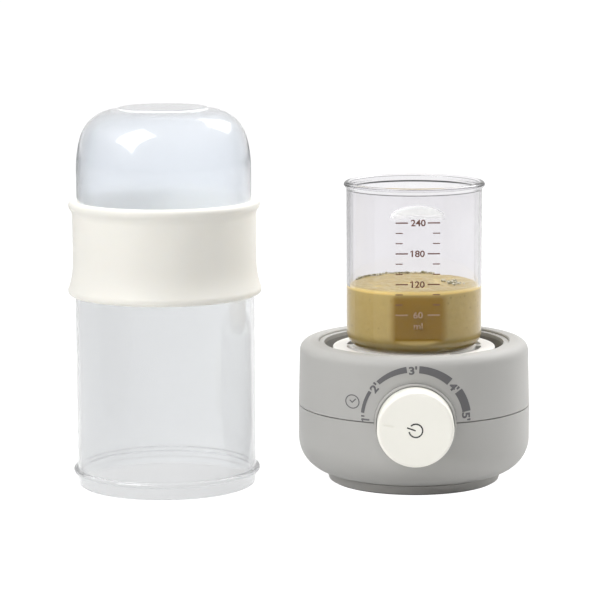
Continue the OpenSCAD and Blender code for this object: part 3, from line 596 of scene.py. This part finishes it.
class WARMER_OT_beaker(bpy.types.Operator):
    """Turn the glass beaker, with its rolled rim and the flat panel behind the scale"""
    bl_idname = "warmer.beaker"
    bl_label = "Beaker"

    def execute(self, context):
        wall = sizes().glass_wall / MM
        low, top = (corner.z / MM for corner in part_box("beaker"))
        r, corner, floor, rim, hollow = BEAKER_R, 8.0, 3.0, 1.6, 0.6
        rim_foot, panel_low, panel_top = top - 4.2, low + 7.6, top - 15.6
        profile = [(0, low + hollow)] + line((0, low + hollow), (STAND_R - 4, low + hollow), 8)
        profile += [(STAND_R - 2, low + 0.2), (STAND_R, low)]
        profile += arc(r - corner, low + corner, corner, 270, 360, 16)
        profile += line((r, low + corner), (r, rim_foot), 76)
        profile += [(r + 0.25, top - 3.3)]
        profile += arc(r - 0.25, top - rim, rim, -38, 180, 22)
        # back down the inside
        profile += [(r - wall - 0.1, top - 2.4)]
        profile += line((r - wall, rim_foot), (r - wall, low + corner), 76)
        profile += arc(r - corner, low + floor + corner - wall, corner - wall, 0, -90, 14)[1:]
        profile += line((r - corner, low + floor), (0, low + floor), 8)
        piece = turned("beaker_glass", profile, BEAKER_AXIS, steps=384)
        press_panel(piece, panel_low, panel_top)
        let_light_in(piece)
        # where the painted highlight arch sits over the flat
        arch = (1.5, -33.5, panel_top)
        glass = clear_glass("soda glass, pressed", arch, top)
        finish(piece, glass, "cup", "beaker", smooth=50)
        return {"FINISHED"}


def bubbles(r):
    """Places and sizes of the bubbles: a cluster on the right, and a line of foam along the glass's back."""
    found = []
    mid_x, spread_x, mid_y, spread_y = 21, 9, -5, 14
    for i in range(1, 26):
        x = mid_x + spread_x * noise.noise((i * 1.7, 3.3, 0.2))
        y = mid_y + spread_y * noise.noise((i * 1.3, 9.1, 5.4))
        found.append((x, y, 0.6 + 0.9 * abs(noise.noise((i * 1.1, 1.6, 2.2)))))
    first, sweep, count = 70, 95, 60
    for i in range(count):
        angle = math.radians(first + sweep * i / (count - 1))
        reach = r - 1.8 + 1.6 * noise.noise((i * 0.73, 4.2, 4.6))
        size = 0.5 + 0.8 * abs(noise.noise((i * 0.91, 7.7, 1.3)))
        found.append((reach * math.cos(angle), reach * math.sin(angle), size))
    return found


class WARMER_OT_puree(bpy.types.Operator):
    """Turn the puree and roughen its top into soft lumps and bubbles"""
    bl_idname = "warmer.puree"
    bl_label = "Puree"

    def execute(self, context):
        low, top = (corner.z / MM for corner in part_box("puree"))
        # reaches a little into the glass, so that no air film shows between them
        r, foot = BEAKER_R - sizes().glass_wall / MM + 0.12, low - 0.1
        corner, edge = 6.3, 1.9
        profile = [(0, foot)] + line((0, foot), (r - corner, foot), 6)
        profile += arc(r - corner, foot + corner, corner, 270, 360, 12)[1:]
        profile += line((r, foot + corner), (r, top - edge), 14)
        profile += arc(r - edge, top - edge, edge, 0, 90, 6)[1:]
        profile += line((r - edge, top), (0, top), 44)
        piece = turned("puree_fill", profile, BEAKER_AXIS, steps=256)
        panel_low, past_top = low + 4.6, top + 40
        press_panel(piece, panel_low, past_top, inner=12)
        # widths and heights of the lumps and of the finer ones on them, which die out along the glass
        lump, lump_h, fine, fine_h, calm = 9, 0.7, 2.6, 0.4, 3
        for v in piece.data.vertices:
            x, y, z = v.co / MM
            inside = min(1, max(0, (r - math.hypot(x, y)) / calm))
            if z > top - 0.1 and inside > 0:
                swell = noise.noise((x / lump, y / lump, 0)) * lump_h
                swell += noise.noise((x / fine, y / fine, 7)) * fine_h
                v.co.z += swell * inside * MM
        skin = wet_puree("vegetable puree", colours().puree, colours().painted_shade_behind_flat, low, top)
        finish(piece, skin, "cup", "puree", smooth=60)
        balls, squash, afloat = [], 0.8, 0.45
        add_ball = bpy.ops.mesh.primitive_ico_sphere_add
        for x, y, size in bubbles(r):
            balls.append(start_edit(add_ball, "bubble", subdivisions=2, radius=size * MM))
            bpy.ops.transform.resize(value=(1, 1, squash))
            bpy.ops.transform.translate(value=(x * MM, y * MM, (top + afloat) * MM))
        foam = joined("puree_foam", balls)
        finish(foam, wet_foam("puree foam"), "cup", smooth=60)
        return {"FINISHED"}


# Prints, drawn flat as seen from the front and then laid on their surface

def flat_band(place, across, along):
    """A flat strip: a grid whose points are moved to where place(s, t) puts them, s along and t across it."""
    piece = start_edit(
        bpy.ops.mesh.primitive_grid_add, "strip", x_subdivisions=along, y_subdivisions=across, size=2)
    bpy.ops.object.mode_set(mode="OBJECT")
    for v in piece.data.vertices:
        x, y = place((v.co.x + 1) / 2, (v.co.y + 1) / 2)
        v.co = (x * MM, y * MM, 0)
    return piece


def flat_arc(centre, start, end, inner, outer):
    """A flat arc whose inner radius goes from a first to a last value, angles in degrees."""
    def place(s, t):
        angle = math.radians(start + (end - start) * s)
        radius = outer + (inner[0] + (inner[1] - inner[0]) * s - outer) * t
        return centre[0] + radius * math.cos(angle), centre[1] + radius * math.sin(angle)
    return flat_band(place, 2, max(6, int(abs(end - start) / 2)))


def flat_line(a, b, width):
    """A flat stroke between two points."""
    dx, dy = b[0] - a[0], b[1] - a[1]
    length = math.hypot(dx, dy)
    nx, ny = -dy / length * width, dx / length * width

    def place(s, t):
        return a[0] + dx * s + nx * (t - 0.5), a[1] + dy * s + ny * (t - 0.5)
    return flat_band(place, 1, max(2, int(length)))


def flat_text(words, height, centre, angle=0.0, weight=0.02, wide=1.1):
    """Flat lettering of a height over all, widened, turned and centred on a point."""
    select_nothing()
    bpy.ops.object.text_add()
    piece = bpy.context.active_object
    piece.data.body = words
    piece.data.offset = weight
    piece.data.resolution_u = 6
    bpy.ops.object.convert(target="MESH")
    piece = bpy.context.active_object
    corners = [v.co.copy() for v in piece.data.vertices]
    low = Vector((min(c.x for c in corners), min(c.y for c in corners)))
    high = Vector((max(c.x for c in corners), max(c.y for c in corners)))
    tall = high.y - low.y
    scale = height / tall
    turn = Matrix.Rotation(math.radians(angle), 2)

    def put(x, y):
        flat = Vector(((x - (low.x + high.x) / 2) * scale * wide, (y - (low.y + high.y) / 2) * scale))
        flat = turn @ flat
        return centre[0] + flat.x, centre[1] + flat.y

    for v in piece.data.vertices:
        v.co = tuple(c * MM for c in put(v.co.x, v.co.y)) + (0,)
    # cut into strips, so that it can follow a curved wall
    bpy.ops.object.mode_set(mode="EDIT")
    left = min(v.co.x for v in piece.data.vertices) / MM
    right = max(v.co.x for v in piece.data.vertices) / MM
    for i in range(1, int(right - left) + 1):
        bpy.ops.mesh.select_all(action="SELECT")
        bpy.ops.mesh.bisect(plane_co=((left + i) * MM, 0, 0), plane_no=(1, 0, 0))
    bpy.ops.object.mode_set(mode="OBJECT")
    if words[0] != "1":
        return piece
    # the font's one is a bare stroke, so it gets its flag
    tip = put(low.x - 0.2 * tall, high.y - 0.26 * tall)
    root = put(low.x + 0.06 * tall, high.y - 0.06 * tall)
    return joined("text", [piece, flat_line(tip, root, 0.13 * height)])


def lay_print(name, strips, surface, material, body):
    """Joins flat strips, gives them the ink's height and lays them on a surface."""
    piece = joined(name, strips)
    face_outwards(merge=0.001 * MM)
    up = sum(f.normal.z * f.area for f in piece.data.polygons)
    bpy.ops.object.modifier_add(type="SOLIDIFY")
    film = piece.modifiers[-1]
    film.thickness = sizes().ink
    film.offset = 1 if up > 0 else -1
    bpy.ops.object.modifier_apply(modifier=film.name)
    low = min(v.co.z for v in piece.data.vertices)
    clearance = 0.01
    for v in piece.data.vertices:
        x, z, h = v.co.x / MM, v.co.y / MM, (v.co.z - low) / MM
        v.co = surface(x, z, h + clearance) * MM
    face_outwards()
    finish(piece, material, body, smooth=None)


class WARMER_OT_dial_print(bpy.types.Operator):
    """Print the time scale, its numbers and the clock on the upper housing"""
    bl_idname = "warmer.dial_print"
    bl_label = "Dial Print"

    def execute(self, context):
        low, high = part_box("upper_housing")
        wall_r, foot, top = high.x / MM, low.z / MM, high.z / MM
        shoulder, draft = 5.5, 0.7

        def surface(x, z, h):
            rise = top - shoulder
            r = wall_r - draft * (z - foot) / (rise - foot)
            if z > rise:
                r = wall_r - draft - shoulder + math.sqrt(shoulder ** 2 - (z - rise) ** 2)
            return Vector((x, -math.sqrt(r * r - x * x) - h, z))

        hub, outer = (0.38, 42.8), 28.5
        strips = [flat_arc(hub, start, end, inner, outer) for start, end, inner in (
            (173.6, 148.5, (26.8, 26.8)), (135.4, 100.2, (26.2, 25.3)),
            (86.5, 49.0, (24.8, 24.3)), (34.2, 8.7, (24.2, 24.2)))]
        tall, bold = 4.3, 0.035
        for words, angle, radius, wide in (
            ("1'", 178.9, 26.1, 0.9), ("2'", 142.0, 26.9, 1.25), ("3'", 93.4, 26.2, 1.25),
            ("4'", 41.2, 25.8, 1.25), ("5'", 2.7, 25.95, 1.25),
        ):
            turn = math.radians(angle)
            spot = (hub[0] + radius * math.cos(turn), hub[1] + radius * math.sin(turn))
            strips.append(flat_text(words, tall, spot, angle - 90, bold, wide))
        # the clock and its two hands
        x, z = -32.35, 51.15
        strips.append(flat_arc((x, z), 0, 360, (3.15, 3.15), 3.7))
        strips.append(flat_line((x + 0.05, z - 0.55), (x - 1.35, z + 0.75), 0.6))
        strips.append(flat_line((x - 0.2, z - 0.5), (x + 1.8, z + 1.6), 0.6))
        lay_print("dial_print", strips, surface, ink("pad print ink, grey", colours().dial_ink), "base")
        return {"FINISHED"}


class WARMER_OT_knob_symbol(bpy.types.Operator):
    """Print the power symbol on the knob's face"""
    bl_idname = "warmer.knob_symbol"
    bl_label = "Knob Symbol"

    def execute(self, context):
        face = -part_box("knob")[0].y / MM
        mid_x, mid_z = 0.1, middle("knob").z - 0.34
        ring = flat_arc((mid_x, mid_z), 190, 496, (3.1, 3.1), 3.8)
        stroke = flat_line((mid_x - 0.1, mid_z), (mid_x - 4.45, mid_z + 1.52), 0.7)
        lay_print("knob_symbol", [ring, stroke], lambda x, z, h: Vector((x, -face - h, z)),
                  ink("pad print ink, black", srgb("#2e2d2b")), "dial")
        return {"FINISHED"}


class WARMER_OT_scale_print(bpy.types.Operator):
    """Print the millilitre scale on the beaker's flat"""
    bl_idname = "warmer.scale_print"
    bl_label = "Scale Print"

    def execute(self, context):
        rim_lip = 1.35
        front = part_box("beaker")[1].x / MM - rim_lip - sizes().panel_depth / MM
        turn = Matrix.Rotation(sizes().panel_turn, 3, "Z")
        first, step, mark_end = 93.3, 5.37, 11.55
        low_strips = [flat_text("ml", 3.4, (0.3, first - 5.8))]
        high_strips = []
        for i in range(10):
            z = first + step * i
            numbered = i % 3 == 0
            mark_start, width = (5.1, 0.66) if numbered else (7.8, 0.52)
            strips = high_strips if i else low_strips
            for side in (-1, 1):
                strips.append(flat_line((side * mark_start, z), (side * mark_end, z), width))
            if numbered:
                strips.append(flat_text(str(60 + 20 * i), 3.5, (0.2, z)))
        for name, strips, colour in (("scale_print", high_strips, colours().scale_ink),
                                     ("scale_print_low", low_strips, colours().low_ink)):
            lay_print(name, strips, lambda x, z, h: turn @ Vector((x, -front - h, z)),
                      ink("screen print ink, " + name, colour), "cup")
        return {"FINISHED"}


class WARMER_OT_finishes(bpy.types.Operator):
    """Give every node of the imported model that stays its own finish"""
    bl_idname = "warmer.finishes"
    bl_label = "Finishes"

    def execute(self, context):
        tint = colours()
        # the housings' fine grain spreads the light into a soft sheen
        coat(moulded("ABS, moulded satin grey", tint.shell, roughness=0.48, grain_mm=0.35, height_mm=0.01,
                     spread=0.02, more={"Specular IOR Level": 0.25}),
             "upper_housing", "lower_housing", "knob_bezel")
        for name, colour, roughness, grain_mm, height_mm, spread, nodes in (
            # a little duller than the housings, with the same grain
            ("ABS, moulded grey", tint.foot, 0.5, 0.35, 0.01, 0.03, ["foot_plate"]),
            ("PBT, moulded grey", srgb("#8d8c88"), 0.45, 0.35, 0.01, 0.03, ["steam_well"]),
            # from smoother moulds: even whites with a clearer highlight
            ("ABS, moulded warm white", tint.knob, 0.3, 0.5, 0.006, 0.01, ["knob"]),
            ("polypropylene, moulded white", srgb("#f4f2ef"), 0.35, 0.5, 0.006, 0.01, ["steam_grid"]),
            # rubbers: soft and dull, the black one a little blotchy
            ("EPDM, moulded black", srgb("#2b2b2b"), 0.7, 0.5, 0.02, 0.08, ["foot_ring", "cord_gland"]),
            ("silicone rubber, gasket", srgb("#d8d4cc"), 0.55, 0.5, 0.01, 0.04, ["bowl_gasket"]),
            ("silicone insulation, red", srgb("#a03a34"), 0.5, 0.4, 0.01, 0.04, ["heater_leads"]),
            # the inner pieces: a glossy lacquered board and half matt casings
            ("fibreglass board, green resist", srgb("#2f6b46"), 0.35, 0.8, 0.01, 0.04, ["control_board"]),
            ("moulded component cases, black", srgb("#34363a"), 0.45, 0.5, 0.01, 0.04, ["board_parts"]),
            ("phenolic, moulded cream", srgb("#d6d2c4"), 0.4, 0.5, 0.01, 0.04, ["thermostat"]),
            ("acetal, moulded white", srgb("#e4e0d4"), 0.4, 0.5, 0.006, 0.04, ["switch_plunger"]),
        ):
            coat(moulded(name, colour, roughness, grain_mm, height_mm, spread), *nodes)
        # metals mirror softly: the drawn bowl most clearly, the heater's scaled tube least
        for name, hex_code, roughness, nodes in (
            ("steel, zinc plated", "#b9bbbd", 0.35, [
                "foot_screws", "clamp_screws", "encoder_nut", "bowl_clamp", "thermal_fuse", "knob_shaft"]),
            ("stainless steel, drawn", "#c9cbcd", 0.28, ["steam_bowl"]),
            ("steel tube, heat tinted", "#7c7773", 0.45, ["heater"]),
            ("steel case, blackened", "#5a5e62", 0.4, ["encoder"]),
        ):
            coat(steel(name, srgb(hex_code), roughness), *nodes)
        return {"FINISHED"}


# Stage

def front_camera(scene):
    """The camera: a long lens, a little above the object and looking down at it."""
    pan, tilt, roll = (math.radians(angle) for angle in (1.619, 90 - 8.863, -0.251))
    camera = bpy.data.cameras.new("front camera")
    camera.sensor_fit = "HORIZONTAL"
    camera.sensor_width = 36.0
    camera.lens = 165.07
    camera.shift_x = -0.00358
    camera.clip_end = 50.0
    holder = bpy.data.objects.new("front camera", camera)
    holder.location = (-0.018616, -1.447698, 0.321908)
    aim = Matrix.Rotation(pan, 3, "Z") @ Matrix.Rotation(tilt, 3, "X") @ Matrix.Rotation(roll, 3, "Z")
    holder.rotation_euler = aim.to_euler()
    scene.collection.objects.link(holder)
    scene.camera = holder


def shown(tree, rays, mirrored):
    """How far a ray sees the white: wholly from the camera or through a clear piece, in part in a mirror."""
    share = add(tree, "ShaderNodeMath", {
        "operation": "MULTIPLY", 0: mirrored, 1: rays["Is Glossy Ray"]}).outputs[0]
    for kind in ("Is Camera Ray", "Is Transmission Ray"):
        share = add(tree, "ShaderNodeMath", {"operation": "MAXIMUM", 0: share, 1: rays[kind]}).outputs[0]
    return share


def white_studio(scene):
    """A white world, in which mirrors see the backdrop behind the object, a bright ceiling and a dark room in
    front."""
    backdrop, ceiling, room, white = 0.72, 0.85, 0.13, 1.03
    scene.world = bpy.data.worlds.new("white studio")
    scene.world.use_nodes = True
    tree = scene.world.node_tree
    tree.nodes.clear()
    rays = add(tree, "ShaderNodeLightPath").outputs
    way = add(tree, "ShaderNodeTexCoord").outputs["Generated"]
    _, back, up = add(tree, "ShaderNodeSeparateXYZ", {"Vector": way}).outputs
    above = add(tree, "ShaderNodeMapRange", {
        "interpolation_type": "SMOOTHSTEP", "Value": up, "From Min": 0.05, "From Max": 0.6,
        "To Max": ceiling})
    behind = add(tree, "ShaderNodeMath", {
        "operation": "MULTIPLY", 0: mask(tree, (back, 0.6, None, 0.2)), 1: backdrop})
    bright = add(tree, "ShaderNodeMath", {
        "operation": "MAXIMUM", 0: behind.outputs[0], 1: above.outputs["Result"]})
    level = add(tree, "ShaderNodeMapRange", {
        "Value": shown(tree, rays, bright.outputs[0]), "To Min": room, "To Max": white})
    sky = add(tree, "ShaderNodeBackground", {"Color": WHITE, "Strength": level.outputs["Result"]})
    add(tree, "ShaderNodeOutputWorld", {"Surface": sky.outputs["Background"]})


def paper_floor():
    """White paper that glows where the camera sees it. Mirrors see it glow only close to the object, least
    to the left of the hood. Through the hood, a painted shadow dims it a little below the hood."""
    glow_level, painted_shadow_level, glow_share = 1.15, 0.86, 0.9
    mirror_left, mirror_right, left, right = 0.1, 0.6, -0.18, -0.1
    hood_reach = 50 * MM
    floor = start_edit(bpy.ops.mesh.primitive_plane_add, "floor", size=12)
    paper, tree = new_material("white paper floor")
    rays = add(tree, "ShaderNodeLightPath").outputs
    place = add(tree, "ShaderNodeTexCoord").outputs["Object"]
    x = add(tree, "ShaderNodeSeparateXYZ", {"Vector": place}).outputs["X"]
    near = add(tree, "ShaderNodeTexGradient", {"gradient_type": "SPHERICAL", "Vector": place})
    side = add(tree, "ShaderNodeMapRange", {
        "Value": x, "From Min": left, "From Max": right, "To Min": mirror_left, "To Max": mirror_right})
    near = add(tree, "ShaderNodeMath", {
        "operation": "MULTIPLY", 0: near.outputs["Fac"], 1: side.outputs["Result"]})
    # a painted shadow: a soft disc on the floor below the hood, seen only through clear pieces
    hood = middle("hood_sleeve") * MM
    under = add(tree, "ShaderNodeMapping", {
        "vector_type": "TEXTURE", "Vector": place, "Location": (hood.x, hood.y, 0),
        "Scale": (hood_reach, hood_reach, 1)})
    under = add(tree, "ShaderNodeTexGradient", {
        "gradient_type": "SPHERICAL", "Vector": under.outputs["Vector"]})
    under = add(tree, "ShaderNodeMath", {
        "operation": "MULTIPLY", 0: mask(tree, (under.outputs["Fac"], 0.08, None, 0.04)),
        1: rays["Is Transmission Ray"]})
    level = add(tree, "ShaderNodeMapRange", {
        "Value": under.outputs[0], "To Min": glow_level, "To Max": painted_shadow_level})
    glow = add(tree, "ShaderNodeEmission", {"Color": WHITE, "Strength": level.outputs["Result"]})
    amount = add(tree, "ShaderNodeMath", {
        "operation": "MULTIPLY", 0: shown(tree, rays, near.outputs[0]), 1: glow_share})
    matt = add(tree, "ShaderNodeBsdfPrincipled", {
        "Base Color": shade(WHITE[:3], 0.75), "Roughness": 0.9, "Specular IOR Level": 0.0})
    mix = add(tree, "ShaderNodeMixShader", {
        0: amount.outputs[0], 1: matt.outputs["BSDF"], 2: glow.outputs["Emission"]})
    add(tree, "ShaderNodeOutputMaterial", {"Surface": mix.outputs["Shader"]})
    end_edit(floor, paper, None)


def grey_cards():
    """Cards beside and above the glass, seen only through it and from one side, that draw its edges."""
    quarter = math.pi / 2
    for name, grey, size, turn, spot in (
        ("left card", 0.62, (0.16, 0.09), (quarter, quarter), (-0.066, 0.11, 0.124)),
        ("right card", 0.78, (0.16, 0.09), (quarter, -quarter), (0.066, 0.11, 0.124)),
        ("high card", 0.05, (0.6, 0.8), (quarter, 0), (0.0, 0.4, 0.8)),
    ):
        card, tree = new_material(name)
        tone = add(tree, "ShaderNodeEmission", {"Color": (grey, grey, grey, 1)})
        back = add(tree, "ShaderNodeNewGeometry").outputs["Backfacing"]
        unseen = add(tree, "ShaderNodeBsdfTransparent")
        one_way = add(tree, "ShaderNodeMixShader", {
            0: back, 1: tone.outputs["Emission"], 2: unseen.outputs["BSDF"]})
        add(tree, "ShaderNodeOutputMaterial", {"Surface": one_way.outputs["Shader"]})
        piece = start_edit(bpy.ops.mesh.primitive_plane_add, name, size=1)
        bpy.ops.transform.resize(value=(size[0], size[1], 1))
        for angle, axis in zip(turn, "XZ"):
            if angle:
                bpy.ops.transform.rotate(value=angle, orient_axis=axis, center_override=(0, 0, 0))
        bpy.ops.transform.translate(value=spot)
        end_edit(piece, card, None)
        piece.visible_camera = False
        piece.visible_diffuse = False
        piece.visible_glossy = False
        piece.visible_shadow = False


def soft_lights(scene):
    """Soft lights round the object. Glossy pieces mirror two of them."""
    target = Vector((-0.06, -0.02, 0.09))
    for name, spot, size, roll, power, mirrored in (
        ("left softbox", (-1.0, -0.92, 1.3), (1.0, 1.4), -21, 24.5, True),
        ("right softbox", (1.0, 0.72, 1.12), (0.75, 0.6), 0, 11.5, False),
        ("right window", (0.81, 0.83, 1.24), (0.9, 0.85), 0, 8.0, True),
        ("right fill", (1.2, 0.25, 0.42), (0.8, 0.5), 0, 4.8, False),
        ("top softbox", (-0.05, 0.0, 1.7), (1.2, 1.0), 0, 14.0, False),
    ):
        lamp = bpy.data.lights.new(name, "AREA")
        lamp.shape = "RECTANGLE"
        lamp.size, lamp.size_y = size
        lamp.energy = power
        light = bpy.data.objects.new(name, lamp)
        light.location = spot
        aim = (target - Vector(spot)).to_track_quat("-Z", "Y").to_matrix()
        light.rotation_euler = (aim @ Matrix.Rotation(math.radians(roll), 3, "Z")).to_euler()
        light.visible_camera = False
        light.visible_glossy = mirrored
        light.visible_transmission = False
        scene.collection.objects.link(light)


class WARMER_OT_stage(bpy.types.Operator):
    """Set up the camera, the white floor and the soft lights"""
    bl_idname = "warmer.stage"
    bl_label = "Stage"

    def execute(self, context):
        context.scene.view_settings.view_transform = "Standard"
        front_camera(context.scene)
        white_studio(context.scene)
        paper_floor()
        grey_cards()
        soft_lights(context.scene)
        return {"FINISHED"}


class WARMER_PT_panel(bpy.types.Panel):
    """Lists the warmer's pieces in the 3D view's sidebar"""
    bl_idname = "WARMER_PT_panel"
    bl_label = "Steam Bottle Warmer"
    bl_space_type = "VIEW_3D"
    bl_region_type = "UI"
    bl_category = "Warmer"

    def draw(self, context):
        for operator in OPERATORS:
            self.layout.operator(operator.bl_idname)


OPERATORS = (WARMER_OT_finishes, WARMER_OT_sleeve, WARMER_OT_band, WARMER_OT_dome, WARMER_OT_beaker,
             WARMER_OT_puree, WARMER_OT_dial_print, WARMER_OT_knob_symbol, WARMER_OT_scale_print,
             WARMER_OT_stage)
CLASSES = (WarmerSizes, WarmerColours) + OPERATORS + (WARMER_PT_panel,)


def register():
    for item in CLASSES:
        bpy.utils.register_class(item)
    bpy.types.Scene.warmer_sizes = bpy.props.PointerProperty(type=WarmerSizes)
    bpy.types.Scene.warmer_colours = bpy.props.PointerProperty(type=WarmerColours)


def unregister():
    del bpy.types.Scene.warmer_colours
    del bpy.types.Scene.warmer_sizes
    for item in reversed(CLASSES):
        bpy.utils.unregister_class(item)


def main():
    """Builds every piece and the stage."""
    register()
    for operator in OPERATORS:
        group, name = operator.bl_idname.split(".")
        getattr(getattr(bpy.ops, group), name)()


if __name__ == "__main__":
    main()
